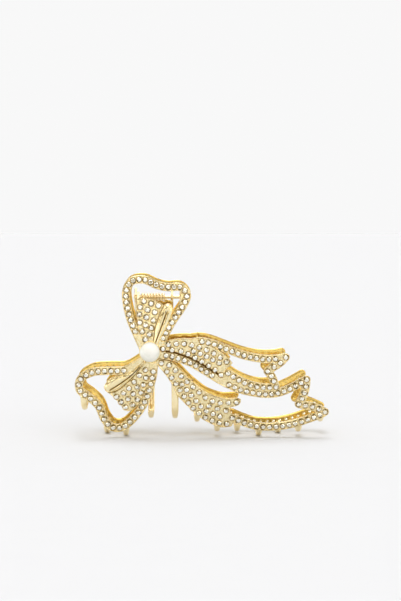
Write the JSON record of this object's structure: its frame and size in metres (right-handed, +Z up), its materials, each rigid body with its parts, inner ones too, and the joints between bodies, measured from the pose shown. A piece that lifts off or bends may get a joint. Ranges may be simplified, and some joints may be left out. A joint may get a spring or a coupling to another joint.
{
  "type": "rhinestone hair clip",
  "caption": "Spring claw hair clip shaped as a ribbon bow, two gold openwork jaws set with rhinestones, a pearl on the knot, curved teeth and a hinge pin with a torsion spring.",
  "frame": {"origin": "centre of the bounding box, on the surface that the closed clip's teeth stand on", "axes": "+X along the bow from its left loop to its tails, +Y from the front jaw to the rear jaw, +Z up from the teeth to the upper loop"},
  "size_m": [0.1019, 0.0436, 0.0654],
  "materials": {
    "gold_plate": "polished pale gold plating",
    "spring_steel": "gold-plated drawn spring wire",
    "rhinestone": "clear faceted glass with a foil back",
    "pearl": "nacre-coated imitation pearl"
  },
  "bodies": {
    "front_jaw": {"front_upper_loop": "gold_plate", "front_upper_fold": "gold_plate", "front_upper_crease": "gold_plate", "front_left_loop": "gold_plate", "front_left_fold": "gold_plate", "front_left_crease": "gold_plate", "front_upper_tail": "gold_plate", "front_upper_tail_fold": "gold_plate", "front_middle_tail": "gold_plate", "front_lower_tail": "gold_plate", "front_lower_tail_fold": "gold_plate", "front_knot_cup": "gold_plate", "front_pearl": "pearl", "front_left_lug": "gold_plate", "front_right_lug": "gold_plate", "front_tooth_1": "gold_plate", "front_tooth_2": "gold_plate", "front_tooth_3": "gold_plate", "front_tooth_4": "gold_plate", "front_tooth_5": "gold_plate", "front_tooth_6": "gold_plate", "front_upper_loop_stones": "rhinestone", "front_upper_fold_stones": "rhinestone", "front_left_loop_stones": "rhinestone", "front_left_fold_stones": "rhinestone", "front_upper_tail_stones": "rhinestone", "front_middle_tail_stones": "rhinestone", "front_lower_tail_stones": "rhinestone", "hinge_pin": "gold_plate", "torsion_spring": "spring_steel"},
    "rear_jaw": {"rear_upper_loop": "gold_plate", "rear_upper_fold": "gold_plate", "rear_upper_crease": "gold_plate", "rear_left_loop": "gold_plate", "rear_left_fold": "gold_plate", "rear_left_crease": "gold_plate", "rear_upper_tail": "gold_plate", "rear_upper_tail_fold": "gold_plate", "rear_middle_tail": "gold_plate", "rear_lower_tail": "gold_plate", "rear_lower_tail_fold": "gold_plate", "rear_knot_cup": "gold_plate", "rear_pearl": "pearl", "rear_left_lug": "gold_plate", "rear_right_lug": "gold_plate", "rear_tooth_1": "gold_plate", "rear_tooth_2": "gold_plate", "rear_tooth_3": "gold_plate", "rear_tooth_4": "gold_plate", "rear_tooth_5": "gold_plate", "rear_tooth_6": "gold_plate", "rear_upper_loop_stones": "rhinestone", "rear_upper_fold_stones": "rhinestone", "rear_left_loop_stones": "rhinestone", "rear_left_fold_stones": "rhinestone", "rear_upper_tail_stones": "rhinestone", "rear_middle_tail_stones": "rhinestone", "rear_lower_tail_stones": "rhinestone", "spring_rear_leg": "spring_steel"}
  },
  "joints": [
    {"name": "jaw_hinge", "type": "hinge", "parent": "front_jaw", "child": "rear_jaw", "pos_m": [-0.018, 0, 0.056], "axis": [1, 0, 0], "range_deg": [0, 55], "stiffness_Nm_per_rad": 0.08, "springref_deg": -34.38}
  ]
}
